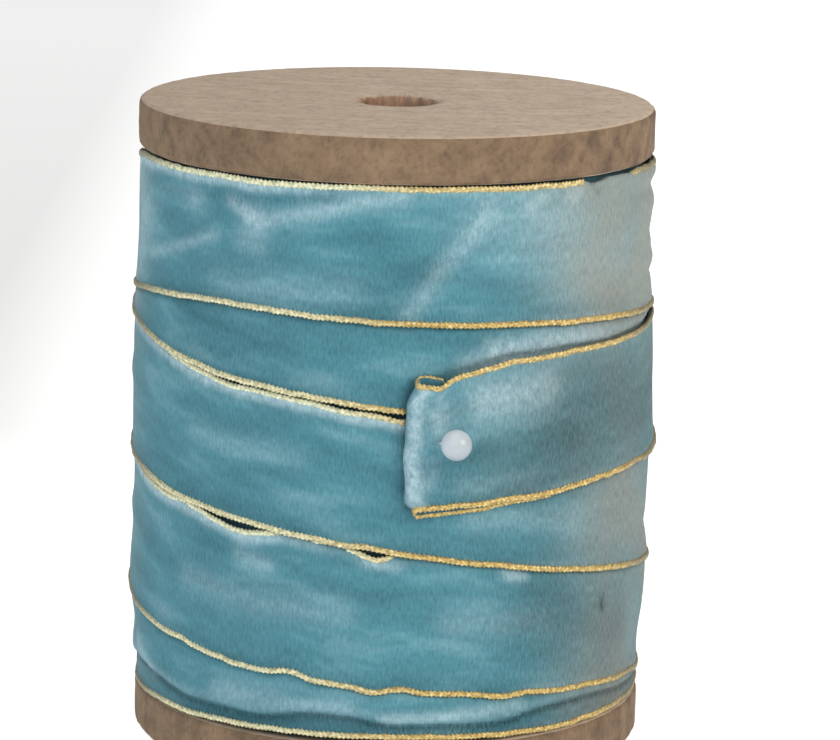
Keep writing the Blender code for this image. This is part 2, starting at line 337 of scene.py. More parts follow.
@dataclass(frozen=True)
class MetallicYarn(Finish):
    """Metallised yarn: flat gilt film wound on a core, darker in its hollows and bright on its crowns, with
    painted shade on it at the spool's sides.
    """

    hollow: str = "8b764a"
    gilt: str = "c2a660"
    crown: str = "e8da9f"
    worn_hollow: str = "a5ad8c"
    worn_crown: str = "efeecb"
    side_shade_colour: str = "716f5c"

    def material(self) -> bpy.types.Material:
        """Build the material.

        Returns:
            The yarn, which reads its own map.
        """
        material, tree = self.start()
        weave = add_node(tree, "ShaderNodeUVMap", uv_map="weave").outputs["UV"]
        mapped = add_node(tree, "ShaderNodeMapping", {"Vector": weave, "Scale": (1000, 1000, 1)}).outputs[0]
        film = add_node(tree, "ShaderNodeTexNoise", {"Vector": mapped, "Scale": 1.6, "Detail": 3.0,
                                                     "Roughness": 0.7}).outputs[0]
        bright = add_node(tree, "ShaderNodeValToRGB", {"Fac": film},
                          stops=((0.36, self.hollow), (0.52, self.gilt),
                                 (0.68, self.crown))).outputs["Color"]
        pale = add_node(tree, "ShaderNodeValToRGB", {"Fac": film},
                        stops=((0.36, self.worn_hollow), (0.60, self.worn_crown))).outputs["Color"]
        worn = add_node(tree, "ShaderNodeAttribute", attribute_name="worn").outputs["Fac"]
        # Painted shade: the yarn is darkened at the spool's sides.
        dull = add_node(tree, "ShaderNodeAttribute", attribute_name="dull").outputs["Fac"]
        gilded = add_node(tree, "ShaderNodeMix", {"Factor": worn, "A": bright, "B": pale},
                          data_type="RGBA").outputs["Result"]
        colour = add_node(tree, "ShaderNodeMix", {"Factor": dull, "A": gilded, "B": linear(self.side_shade_colour)},
                          data_type="RGBA").outputs["Result"]
        rough = add_node(tree, "ShaderNodeMapRange", {"Value": film, "From Min": 0.3, "From Max": 0.7,
                                                      "To Min": 0.55, "To Max": 0.32}).outputs[0]
        bump = add_node(tree, "ShaderNodeBump",
                        {"Height": film, "Strength": 0.5, "Distance": 0.12 * MM}).outputs[0]
        self.close(tree, {"Base Color": colour, "Roughness": rough, "Metallic": 0.25, "Normal": bump})
        return material


@dataclass(frozen=True)
class AgedWood(Finish):
    """Pale hardwood, turned, limed and worn: open pores, a greyed face and browner, mottled rims; part of
    the gap between face and rims is painted light from above and painted shade on the rims.
    """

    dark: str = "6f5b4b"
    body: str = "94806a"
    pale: str = "b5a48f"
    grain_stretch: tuple[float, float, float] = (60.0, 420.0, 420.0)
    pore_scale: tuple[float, float, float] = (900.0, 900.0, 260.0)
    contrast: float = 0.5
    side_light: float = 0.06

    def material(self) -> bpy.types.Material:
        """Build the material.

        Returns:
            The wood, patterned on Object coordinates in metres.
        """
        material, tree = self.start()
        place = add_node(tree, "ShaderNodeTexCoord").outputs["Object"]
        stretched = add_node(tree, "ShaderNodeMapping",
                             {"Vector": place, "Scale": self.grain_stretch}).outputs[0]
        tight = add_node(tree, "ShaderNodeMapping", {"Vector": place, "Scale": self.pore_scale}).outputs[0]
        figure = add_node(tree, "ShaderNodeTexNoise", {"Vector": stretched, "Scale": 1.0, "Detail": 6.0,
                                                       "Roughness": 0.62, "Distortion": 0.35}).outputs[0]
        mottle = add_node(tree, "ShaderNodeTexNoise", {"Vector": place, "Scale": 210.0, "Detail": 5.0,
                                                       "Roughness": 0.65}).outputs[0]
        pores = add_node(tree, "ShaderNodeTexNoise", {"Vector": tight, "Scale": 1.0, "Detail": 4.0,
                                                      "Roughness": 0.75}).outputs[0]
        centre = (0.02, 0.16, 0.0)
        rings = add_node(tree, "ShaderNodeVectorMath", {0: place, 1: centre},
                         operation="DISTANCE").outputs["Value"]
        arcs = add_node(tree, "ShaderNodeMath", {0: rings, 1: 420.0}, operation="MULTIPLY").outputs[0]
        growth = add_node(tree, "ShaderNodeTexNoise", {"W": arcs, "Scale": 1.0, "Detail": 3.0},
                          noise_dimensions="1D").outputs[0]
        plain = add_node(tree, "ShaderNodeMix", {"Factor": 0.5, "A": figure, "B": mottle}).outputs[0]
        blend = add_node(tree, "ShaderNodeMix", {"Factor": 0.25, "A": plain, "B": growth}).outputs[0]
        across = add_node(tree, "ShaderNodeSeparateXYZ", {0: place}).outputs["X"]
        # Painted light: the tone shifts from the left side to the right, lighter on the right where the
        # shift is positive.
        painted_side_light = add_node(tree, "ShaderNodeMapRange",
                          {"Value": across, "From Min": -0.035, "From Max": 0.035,
                                                        "To Min": -self.side_light,
                                                        "To Max": self.side_light}).outputs[0]
        blend = add_node(tree, "ShaderNodeMath", {0: blend, 1: painted_side_light}, operation="ADD").outputs[0]
        spread = 0.16 / self.contrast * 0.5
        tone = add_node(tree, "ShaderNodeMapRange", {"Value": blend, "From Min": 0.5 - spread,
                                                     "From Max": 0.5 + spread}).outputs[0]
        colour = add_node(tree, "ShaderNodeValToRGB", {"Fac": tone},
                          stops=((0.0, self.dark), (0.5, self.body), (1.0, self.pale))).outputs["Color"]
        worn = add_node(tree, "ShaderNodeMapRange", {"Value": pores, "From Min": 0.30, "From Max": 0.52,
                                                     "To Min": 0.72, "To Max": 1.03}).outputs[0]
        final = add_node(tree, "ShaderNodeVectorMath", {0: colour, "Scale": worn},
                         operation="SCALE").outputs[0]
        bump = add_node(tree, "ShaderNodeBump",
                        {"Height": pores, "Strength": 0.5, "Distance": 0.3 * MM}).outputs[0]
        self.close(tree, {"Base Color": final, "Roughness": 0.82, "Specular IOR Level": 0.25,
                          "Normal": bump})
        return material


@dataclass(frozen=True)
class PearlBead(Finish):
    """Imitation pearl: a glass bead dipped in nacre lacquer, milky below a clear gloss."""

    nacre: str = "c9d4dc"
    shadow: str = "828f98"

    def material(self) -> bpy.types.Material:
        """Build the material.

        Returns:
            The lacquered bead.
        """
        material, tree = self.start()
        place = add_node(tree, "ShaderNodeTexCoord").outputs["Object"]
        cloud = add_node(tree, "ShaderNodeTexNoise",
                         {"Vector": place, "Scale": 700.0, "Detail": 2.0}).outputs[0]
        parts = add_node(tree, "ShaderNodeSeparateXYZ", {0: place}).outputs
        # Painted shade: the bead darkens towards its lower right, with a little cloud mixed in.
        slant = add_node(tree, "ShaderNodeMath", {0: parts["X"], 1: parts["Z"]},
                         operation="SUBTRACT").outputs[0]
        run = add_node(tree, "ShaderNodeMapRange",
                       {"Value": slant, "From Min": -0.0365, "From Max": -0.0418}).outputs[0]
        lacquer = add_node(tree, "ShaderNodeMix", {"Factor": 0.2, "A": run, "B": cloud}).outputs[0]
        colour = add_node(tree, "ShaderNodeMix", {"Factor": lacquer, "A": linear(self.shadow),
                                                  "B": linear(self.nacre)},
                                                  data_type="RGBA").outputs["Result"]
        bump = add_node(tree, "ShaderNodeBump",
                        {"Height": cloud, "Strength": 0.1, "Distance": 0.1 * MM}).outputs[0]
        self.close(tree, {"Base Color": colour, "Roughness": 0.4, "Coat Weight": 0.4, "Coat Roughness": 0.12,
                          "Sheen Weight": 0.15, "Normal": bump})
        return material


@dataclass(frozen=True)
class PlatedSteel(Finish):
    """Nickel-plated steel wire, drawn: fine scratches run round the shank."""

    metal: str = "c3c4c2"

    def material(self) -> bpy.types.Material:
        """Build the material.

        Returns:
            The plated wire.
        """
        material, tree = self.start()
        place = add_node(tree, "ShaderNodeTexCoord").outputs["Object"]
        drawn = add_node(tree, "ShaderNodeTexNoise",
                         {"Vector": place, "Scale": 3000.0, "Detail": 2.0}).outputs[0]
        rough = add_node(tree, "ShaderNodeMapRange",
                         {"Value": drawn, "To Min": 0.18, "To Max": 0.36}).outputs[0]
        bump = add_node(tree, "ShaderNodeBump",
                        {"Height": drawn, "Strength": 0.1, "Distance": 0.02 * MM}).outputs[0]
        self.close(tree, {"Base Color": linear(self.metal), "Metallic": 1.0, "Roughness": rough,
                          "Normal": bump})
        return material


@dataclass(frozen=True)
class StudioPaper(Finish):
    """Matt white background paper that glows with painted light, greyed by painted shade far away on the
    left.
    """

    near: str = "ffffff"
    far: str = "cacaca"

    def material(self) -> bpy.types.Material:
        """Build the material.

        Returns:
            The paper.
        """
        material, tree = self.start()
        place = add_node(tree, "ShaderNodeTexCoord").outputs["Object"]
        parts = add_node(tree, "ShaderNodeSeparateXYZ", {0: place}).outputs
        left = add_node(tree, "ShaderNodeMapRange", {"Value": parts["X"], "From Min": -0.040,
                                                      "From Max": -0.087}).outputs[0]
        depth = add_node(tree, "ShaderNodeMapRange", {"Value": parts["Y"], "From Min": -0.1,
                                                       "From Max": 0.9}).outputs[0]
        # Painted shade: the paper greys far away on the left.
        deep = add_node(tree, "ShaderNodeValToRGB", {"Fac": depth},
                        stops=((0.1, "000000"), (0.28, "ffffff"), (0.9, "c8c8c8"))).outputs["Color"]
        both = add_node(tree, "ShaderNodeMath", {0: left, 1: deep}, operation="MULTIPLY").outputs[0]
        colour = add_node(tree, "ShaderNodeMix",
                          {"Factor": both, "A": linear(self.near), "B": linear(self.far)},
                          data_type="RGBA").outputs["Result"]
        soft = add_node(tree, "ShaderNodeVectorMath", {0: colour, "Scale": 0.55},
                        operation="SCALE").outputs[0]
        # Painted light: the paper glows with its own colour.
        self.close(tree, {"Base Color": soft, "Roughness": 0.95, "Specular IOR Level": 0.0,
                          "Emission Color": colour, "Emission Strength": 0.78})
        return material


VELVET = CrushedVelvet("crushed_silk_velvet")
# A darker copy of the velvet for the hidden layers in the gaps: painted shade.
VELVET_IN_SHADE = CrushedVelvet("silk_velvet_painted_shade", deep="36565f", body="4b727d", milky="64868f")
GOLD = MetallicYarn("gilt_overlock_yarn")
# The face gets paler colours than the rims: partly the wood's own tone, partly painted light on the face and
# painted shade on the rims.
WOOD_FACE = AgedWood("limed_hardwood_face", dark="988673", body="ab9a88", pale="bfae9c",
                     grain_stretch=(130.0, 300.0, 300.0), contrast=0.25, side_light=0.10)
WOOD_RIM = AgedWood("limed_hardwood_rim", dark="56473c", body="7d6954", pale="907962",
                    grain_stretch=(330.0, 330.0, 380.0), pore_scale=(1500.0, 1500.0, 1100.0), contrast=0.46,
                    side_light=-0.025)
WOOD_BORE = AgedWood("raw_hardwood_bore", dark="7d604b", body="a0816c", pale="c0a58f",
                     grain_stretch=(500.0, 500.0, 120.0), contrast=0.6)
PEARL = PearlBead("pearl_lacquer")
STEEL = PlatedSteel("nickel_plated_wire")
PAPER = StudioPaper("studio_paper")


# --------------------------------------------------------------- the winding

@dataclass(frozen=True)
class Mark:
    """A soft mark on the winding, along a line of (azimuth in degrees, height in mm) points."""

    line: tuple[tuple[float, float], ...]
    breadth: float
    strength: float

    def amount(self, azimuth: np.ndarray, height: np.ndarray) -> np.ndarray:
        """Give the mark's strength at places on the winding.

        Args:
            azimuth: Degrees from the front, towards the right.
            height: Millimetres above the foot.

        Returns:
            The strength there.
        """
        arc = 0.62  # mm of winding per degree
        nearest = np.full(azimuth.shape, 1e9)
        points = self.line if len(self.line) > 1 else self.line * 2
        for (a0, z0), (a1, z1) in zip(points, points[1:]):
            run, rise = (a1 - a0) * arc, z1 - z0
            dx, dz = (azimuth - a0) * arc, height - z0
            share = np.clip((dx * run + dz * rise) / max(run * run + rise * rise, 1e-9), 0, 1)
            nearest = np.minimum(nearest, (dx - share * run) ** 2 + (dz - share * rise) ** 2)
        return self.strength * np.exp(-nearest / self.breadth ** 2)


# Pale marks of crushed pile; the broad ones near the sides, at azimuths -84 to -74 and 22 to 62, are painted
# sheen.
PALE_MARKS = (
    Mark(((-37, 77.2), (-30, 74.9), (-19, 76.7), (-10, 78.1), (2, 79.2)), 1.1, 0.42),
    Mark(((-31, 75.1),), 2.2, 0.38),
    Mark(((-66, 67.8), (-53, 70.0), (-42, 72.4)), 0.9, 0.36),
    Mark(((-48, 76.4),), 1.9, 0.32),
    Mark(((-34, 72.0), (-30, 71.6)), 1.6, 0.22),
    Mark(((-82, 79), (-74, 72), (-84, 62)), 5.0, 0.42),
    Mark(((3, 63.8), (11, 70.7), (20, 77)), 1.3, 0.34),
    Mark(((22, 77), (36, 73), (48, 67)), 6.0, 0.26),
    Mark(((44, 77), (56, 71), (62, 66)), 6.0, 0.22),
    Mark(((30, 77.6), (33, 78.8)), 1.0, 0.35),
    Mark(((41, 78.4), (43, 79.0)), 0.9, 0.75),
    Mark(((22, 59.2), (34, 59.8), (52, 60.6)), 1.7, 0.55),
    Mark(((16, 57.2), (32, 58.2), (50, 59.2), (72, 60.0)), 1.5, 0.62),
    Mark(((-40, 66.4), (-10, 66.8)), 2.4, 0.16),
    Mark(((-46, 46.5), (-20, 44.5)), 1.5, 0.14),
    Mark(((18, 36.9), (42, 35.9), (70, 37.6)), 1.8, 0.24),
    Mark(((45, 33), (60, 31.5), (75, 33)), 3.0, 0.26),
    Mark(((-33, 30.4), (-27, 29.6)), 1.3, 0.34),
    Mark(((-48, 26.0), (-30, 24.5), (-10, 24.5)), 2.0, 0.22),
    Mark(((14, 23.0), (34, 22.4)), 2.2, 0.22),
    Mark(((26, 29.0), (30, 28.6)), 0.8, 0.7),
    Mark(((-5, 31.2), (2, 30.7)), 0.7, 0.5),
    Mark(((66, 23), (72, 16)), 3.0, 0.22),
    Mark(((-74, 13.0), (-64, 10.4)), 1.1, 0.38),
    Mark(((-40, 11.4), (-24, 11.6), (-8, 11.0)), 1.3, 0.24),
    Mark(((0, 9.9), (14, 10.4), (30, 11.4)), 0.9, 0.42),
    Mark(((45, 11.6), (53, 12.6)), 0.8, 0.35),
)
FLAP_MARKS = (
    Mark(((4.8, 57), (4.6, 48)), 1.0, 0.75),
    Mark(((4.3, 46), (4.9, 38)), 1.25, 0.85),
    Mark(((8.5, 51), (10, 48.4)), 1.2, 0.4),
    Mark(((9, 53.5), (11, 51)), 1.4, 0.3),
    Mark(((19, 53.0), (26, 53.6), (33, 54.0)), 2.8, 0.62),
    Mark(((8, 42.0), (9, 45.0)), 1.0, 0.25),
    Mark(((15, 41.5), (30, 41.8)), 1.6, 0.16),
)
# Dark marks: partly painted shade under edges and folds, partly darker pile.
DARK_MARKS = (
    Mark(((-64, 76.8), (-40, 77.6), (-14, 78.6)), 0.7, 0.16),
    Mark(((-2, 66), (8, 70)), 3.0, 0.13),
    Mark(((-50, 61), (-25, 60)), 2.6, 0.10),
    Mark(((53, 23.6), (53.4, 21.8)), 0.5, 0.35),
    Mark(((34, 23), (58, 19)), 6.0, 0.22),
    Mark(((30, 64), (60, 63)), 2.0, 0.12),
    Mark(((-34, 26.9), (-8, 26.8), (12, 27.2)), 0.8, 0.10),
    Mark(((-50, 58.0), (-34, 56.9)), 0.8, 0.10),
    Mark(((-44, 31.5), (-20, 30.4)), 1.0, 0.08),
)
# Dark marks on the tail: partly painted shade, partly darker pile.
FLAP_DARK_MARKS = (
    Mark(((42, 48), (98, 50)), 9.5, 0.42),
    Mark(((26, 46.5), (40, 47)), 3.5, 0.10),
    Mark(((12, 42.5), (30, 42.5)), 3.0, 0.16),
    Mark(((15, 46.3), (19, 47.0)), 1.5, 0.16),
)
CREASES = (
    Mark(((-37, 77.2), (-30, 74.9), (-10, 78.1)), 1.1, 0.28),
    Mark(((-66, 67.8), (-42, 72.4)), 0.9, 0.22),
    Mark(((3, 63.8), (20, 77)), 1.4, 0.26),
    Mark(((-34, 26.9), (-8, 26.8), (12, 27.2)), 0.9, -0.22),
    Mark(((-48, 25.0), (-10, 24.5)), 1.6, 0.22),
    Mark(((-50, 58.0), (-34, 56.9)), 0.9, -0.2),
    Mark(((-60, 46.6), (-20, 44.8)), 1.4, 0.2),
    Mark(((-70, 70.5), (-30, 67.0)), 1.4, 0.2),
    Mark(((40, 74), (80, 70)), 1.2, 0.22),
    Mark(((44, 68), (80, 66)), 1.2, -0.2),
    Mark(((10, 58.6), (60, 59.6)), 0.9, 0.15),
    Mark(((48, 80.0), (49.5, 79.0)), 0.8, -0.8),
    Mark(((62, 79.2), (80, 78.6), (98, 78.9)), 0.9, 0.34),
    Mark(((66, 76.9), (98, 76.5)), 0.9, -0.3),
    Mark(((58, 73.6), (80, 74.6), (98, 74.0)), 1.2, 0.3),
    Mark(((64, 70.4), (98, 70.8)), 1.0, -0.28),
    Mark(((70, 67.2), (98, 66.4)), 1.1, 0.34),
    Mark(((66, 64.4), (98, 64.8)), 0.8, -0.25),
    Mark(((70, 40.8), (98, 40.2)), 1.0, 0.3),
    Mark(((74, 30), (98, 29)), 1.4, -0.2),
    Mark(((-98, 31), (-74, 30)), 1.4, 0.25),
    Mark(((-98, 50), (-76, 50)), 1.3, 0.22),
)
FLAP_CREASES = (
    Mark(((10, 45.2), (6, 44.8), (2, 45.0)), 0.6, -0.4),
    Mark(((12.5, 47.9), (7.0, 47.5)), 1.9, 1.3),
    Mark(((5, 56), (5, 39)), 1.3, 0.25),
    Mark(((15, 50), (32, 52)), 1.8, 0.25),
)


@dataclass(frozen=True)
class PileLook:
    """How one stretch's pile lies: its marks, the pale margin along its upper edge, a painted sheen that
    greys it towards the right, and painted shade on the right of the middle turns.
    """

    pale: tuple[Mark, ...]
    dark: tuple[Mark, ...]
    margin_mm: float
    margin_strength: float
    sheen_start: float
    sheen_span: float
    sheen_strength: float
    right_shade: float


@dataclass
class Winding:
    """The ribbon's way round the spool.

    A turn of n is the front, n + 0.25 the left, n + 0.5 the back and n + 0.75 the right.
    """

    first_turn: float = -0.58
    tail_turn: float = 4.5
    fold_turn: float = 4.9895
    ply: float = 0.5
    layer_step: float = 0.62
    edge_lift: float = 0.34
    arc_radius: float = 35.6
    ceiling: float = 80.25
    # Height of the ribbon's lower edge in mm at each eighth of a turn, from its start under the winding.
    lower_heights: tuple[float, ...] = (
        13.0, 11.4, 8.6, 7.2, 6.7, 7.4, 6.9, 6.4, 6.9, 7.6, 8.4,
        9.4, 11.8, 13.9, 16.2, 20.2, 22.2, 23.6, 24.3,
        24.6, 28.3, 32.6, 36.1, 39.5, 41.0, 42.0, 43.0,
        45.0, 48.5, 51.5, 54.7, 58.6, 60.0, 60.9, 60.9,
        60.3, 61.8, 62.8, 63.6, 61.2, 57.5, 52.4, 46.5,
        41.6, 40.2, 38.6)
    # (turn, ribbon width in mm from thread to thread)
    widths: tuple[tuple[float, float], ...] = (
        (-0.3, 17.6), (0.9, 18.4), (0.985, 18.7), (1.005, 18.2), (1.03, 18.8), (1.06, 18.8), (1.075, 18.7),
        (1.09, 18.3), (1.103, 18.4), (1.118, 18.95), (1.15, 19.0), (1.2, 19.1), (1.75, 18.8), (1.9, 17.9),
        (2.0, 17.8), (2.06, 17.95),
        (2.12, 17.8), (2.145, 18.2), (2.17, 18.6), (2.25, 19.0), (2.7, 19.0), (2.8, 18.8), (3.0, 18.0),
        (3.72, 19.4), (3.8, 19.4), (3.848, 19.1),
        (3.864, 17.9), (3.874, 18.3), (3.9, 18.2), (4.0, 18.4), (4.25, 18.0), (4.5, 18.2), (4.76, 17.6),
        (4.85, 17.8),
        (4.9, 18.3), (4.93, 18.2), (4.95, 17.6), (4.969, 16.7), (4.978, 15.9), (4.986, 16.3), (5.0, 16.6))
    # (azimuth in degrees, height in mm) of a fold that runs along the first turn
    fold_line: tuple[tuple[float, float], ...] = (
        (-180, 9.0), (-95, 9.4), (-74, 10.7), (-61, 10.2), (-50, 9.3), (-38, 9.3), (-27, 9.3), (-17, 10.4),
        (-8, 10.3), (1, 9.4), (12, 9.4), (27, 9.3), (36, 10.2), (49, 10.4), (68, 9.4), (95, 9.0), (180, 9.0))
    # (height in mm, outer radius in mm)
    girth: tuple[tuple[float, float], ...] = (
        (0, 34.5), (8, 34.7), (14, 34.9), (18, 35.4), (22, 35.6), (30, 35.4), (40, 35.5), (50, 35.5),
        (58, 35.2), (66, 35.0), (74, 34.9), (82, 34.8))
    # (turn, rise in mm) of small kinks in the lower edge
    kinks: tuple[tuple[float, float], ...] = ((1.058, 0.7), (1.006, -0.5), (0.994, 0.5), (0.93, -0.3),
                                              (2.012, 0.3),
                                              (1.14, 0.4), (2.86, 0.3), (4.93, 0.25))

    @cached_property
    def edges(self) -> tuple[np.ndarray, np.ndarray, np.ndarray]:
        """Tabulate both edges once, as finding them is slow.

        Returns:
            Finely spaced turns, and the heights of the lower and the upper edge there in mm.
        """
        turns = np.linspace(-0.65, 5.6, 25001)
        lows = self.run_low(turns)
        knots, widths = np.array(self.widths).T
        highs = lows + through(knots, widths, turns) + 0.12 * ripple(turns * 37, turns * 0, 8.5)
        return turns, lows, np.minimum(highs, self.ceiling + 0.15 * ripple(turns * 29, turns * 0, 6.5))

    def above_fold(self, turn: np.ndarray, height: np.ndarray) -> np.ndarray:
        """Height in mm above the first turn's long fold."""
        angles, folds = np.array(self.fold_line).T
        return height - through(angles, folds, self.azimuth(turn))

    def ledge(self, turn: np.ndarray, height: np.ndarray) -> np.ndarray:
        """How far above the first turn's long fold a place is, from 0 below it to 1, and down again.

        Args:
            turn: Turns round the spool.
            height: Heights in mm.

        Returns:
            The share of the fold's bulge there.
        """
        above = self.above_fold(turn, height)
        return (turn < 0.6) * smoothstep((above + 0.1) / 0.5) * (1 - 0.75 * smoothstep((above - 1.0) / 4.5))

    def lower(self, turn: np.ndarray) -> np.ndarray:
        """Height of the lower edge in mm."""
        turns, lows, _ = self.edges
        return np.interp(turn, turns, lows)

    def upper(self, turn: np.ndarray) -> np.ndarray:
        """Height of the upper edge in mm, which the top flange holds down."""
        turns, _, highs = self.edges
        return np.interp(turn, turns, highs)

    def run_low(self, turn: np.ndarray) -> np.ndarray:
        """Work out the lower edge's height from the listed ones.

        Args:
            turn: Turns round the spool.

        Returns:
            The heights in mm, with kinks and a slight waver.
        """
        knots = -0.625 + np.arange(len(self.lower_heights)) / 8
        height = through(knots, np.array(self.lower_heights), turn)
        for place, rise in self.kinks:
            height = height + rise * np.exp(-((turn - place) / 0.011) ** 2)
        return height + 0.16 * ripple(turn * 31, turn * 0, 2.5) + 0.08 * ripple(turn * 90, turn * 0, 4.5)

    def covered(self, turn: np.ndarray, height: np.ndarray) -> np.ndarray:
        """Count the later turns that lie over a place.

        Args:
            turn: Turns round the spool.
            height: Heights in mm.

        Returns:
            The number of layers above, easing in and out at their edges.
        """
        layers = np.zeros_like(turn)
        for later in range(1, 5):
            above = turn + later
            there = smoothstep((self.fold_turn + 0.004 - above) / 0.006)
            low, high = self.lower(above), self.upper(above)
            there = there * smoothstep((height - low + 0.9) / 1.0)
            layers += there * (1 - smoothstep((height - high) / 1.0))
        return layers

    def radius(self, turn: np.ndarray, height: np.ndarray) -> np.ndarray:
        """Outer radius of the ribbon in mm at a turn and a height.

        Args:
            turn: Turns round the spool.
            height: Heights in mm.

        Returns:
            The radii.
        """
        azimuth = self.azimuth(turn)
        knots, girths = np.array(self.girth).T
        swell = through(knots, girths, height)
        arc = turn * math.tau * self.arc_radius
        wave = 0.26 * ripple(np.cos(np.radians(azimuth)) * 2.2 + height / 15,
                             np.sin(np.radians(azimuth)) * 2.2 - height / 23, 11.5)
        pucker = 0.10 * ripple(arc / 4.5, height / 7, 3.2) + 0.05 * ripple(arc / 1.6, height / 4, 7.7)
        layers = self.covered(turn, height)
        free = 1 - np.clip(layers, 0, 1)
        rise = self.edge_lift * np.exp(-np.maximum(height - self.lower(turn),
                                                   0) / 3.2) * (0.25 + 0.75 * free)
        rise = rise * (1 - 0.7 * smoothstep((0.9 - turn) / 0.5))
        lap = 0.30 * smoothstep((turn - 4.2) / 0.3)
        crease = sum((mark.amount(azimuth, height) for mark in CREASES), np.zeros_like(turn)) * free
        ledge = 0.62 * self.ledge(turn, height)
        return swell + wave + pucker + rise + lap + crease + ledge - self.layer_step * layers

    @staticmethod
    def azimuth(turn: np.ndarray) -> np.ndarray:
        """Degrees from the front, towards the right, between -180 and 180."""
        return (-360 * turn + 180) % 360 - 180

    @staticmethod
    def spot(turn: np.ndarray, radius: np.ndarray, height: np.ndarray) -> np.ndarray:
        """Turn, radius in mm and height in mm to points in metres.

        Args:
            turn: Turns round the spool.
            radius: Radii in mm.
            height: Heights in mm.

        Returns:
            One point in each row.
        """
        angle = math.tau * turn
        return np.column_stack((-radius * np.sin(angle), -radius * np.cos(angle), height)) * MM


@dataclass
class Strip:
    """A stretch of the ribbon that shares along and across can be asked of."""

    winding: Winding

    def reach(self) -> float:
        """Length of the stretch in mm."""
        raise NotImplementedError

    def turn(self, along: np.ndarray) -> np.ndarray:
        """Turn round the spool for each share along."""
        raise NotImplementedError

    def place(self, along: np.ndarray, across: np.ndarray) -> np.ndarray:
        """Points on the ribbon's outer side for shares along and across."""
        raise NotImplementedError

    def folded(self, along: np.ndarray) -> np.ndarray:
        """How far each share along has gone round the fold, from 0 to 1."""
        return np.zeros_like(along)


@dataclass
class WoundStrip(Strip):
    """The visible turns, from under the first one to the back of the last."""

    def reach(self) -> float:
        """Length of the stretch in mm."""
        return math.tau * self.winding.arc_radius * (self.winding.tail_turn - self.winding.first_turn)

    def turn(self, along: np.ndarray) -> np.ndarray:
        """Turn round the spool for each share along."""
        return self.winding.first_turn + along * (self.winding.tail_turn - self.winding.first_turn)

    def place(self, along: np.ndarray, across: np.ndarray) -> np.ndarray:
        """Lay the stretch on the winding.

        Args:
            along: Shares along the stretch.
            across: Shares across the ribbon, from its lower edge.

        Returns:
            Points on the ribbon's outer side.
        """
        turn = self.turn(along)
        low, high = self.winding.lower(turn), self.winding.upper(turn)
        height = low + across * (high - low)
        return self.winding.spot(turn, self.winding.radius(turn, height), height)


@dataclass
class TailStrip(Strip):
    """The last stretch: over the turns to the front, folded under, with its hem inside."""

    hem: float = 20.0
    bend: float = 0.52
    hem_drop: float = 0.65

    def flat(self) -> float:
        """Length before the fold in mm."""
        return math.tau * self.winding.arc_radius * (self.winding.fold_turn - self.winding.tail_turn)

    def reach(self) -> float:
        """Length of the stretch in mm."""
        return self.flat() + math.pi * self.bend + self.hem

    def walk(self, along: np.ndarray) -> tuple[np.ndarray, np.ndarray]:
        """Follow the stretch round its fold.

        Args:
            along: Shares along.

        Returns:
            The turn, and how far in mm the ribbon has gone inwards.
        """
        run = along * self.reach() - self.flat()
        angle = np.clip(run / self.bend, 0, math.pi)
        back = np.maximum(run - math.pi * self.bend, 0)
        shift = np.where(run < 0, run, self.bend * np.sin(angle) - back)
        turn = self.winding.fold_turn + shift / (math.tau * self.winding.arc_radius)
        return turn, self.bend * (1 - np.cos(angle))

    def turn(self, along: np.ndarray) -> np.ndarray:
        """Turn round the spool for each share along."""
        return self.walk(along)[0]

    def folded(self, along: np.ndarray) -> np.ndarray:
        """How far each share along has gone round the fold, from 0 to 1."""
        return self.walk(along)[1] / (2 * self.bend)

    def place(self, along: np.ndarray, across: np.ndarray) -> np.ndarray:
        """Lay the stretch over the turns, with its fold, its hem and its rolled corners.

        Args:
            along: Shares along the stretch.
            across: Shares across the ribbon, from its lower edge.

        Returns:
            Points on the ribbon's outer side.
        """
        turn, inwards = self.walk(along)
        under = self.folded(along)
        low, high = self.winding.lower(turn), self.winding.upper(turn)
        # The upper corner rolls down at the fold, and the hem behind it stays flat.
        high = high + under * (2.5 * smoothstep((turn - 4.968) / 0.010) - 1.0)
        drop = self.hem_drop * (1 - 0.8 * smoothstep((4.975 - turn) / 0.07))
        height = low + across * (high - low) - under * drop
        scallop = 0.34 * ripple(height / 3.4, height * 0, 5.5)
        corners = 1.1 * smoothstep((across - 0.8) / 0.2) + 1.0 * smoothstep((0.08 - across) / 0.08)
        near = smoothstep((turn - 4.955) / 0.03)
        turn = turn + near * (scallop - corners) / (math.tau * self.winding.arc_radius)
        proud = 1.15 * smoothstep((turn - 4.86) / 0.06)
        azimuth = self.winding.azimuth(turn)
        creases = sum((mark.amount(azimuth, height) for mark in FLAP_CREASES), np.zeros_like(turn))
        creases = creases * smoothstep((turn - 4.7) / 0.05)
        roll = 0.7 * np.exp(-((azimuth - 8) / 3.0) ** 2) * smoothstep((across - 0.86) / 0.14) * (1 - under)
        roll = roll * smoothstep((turn - 4.7) / 0.05)
        radius = self.winding.radius(turn, height) + proud + creases + roll - inwards
        return self.winding.spot(turn, radius, height)


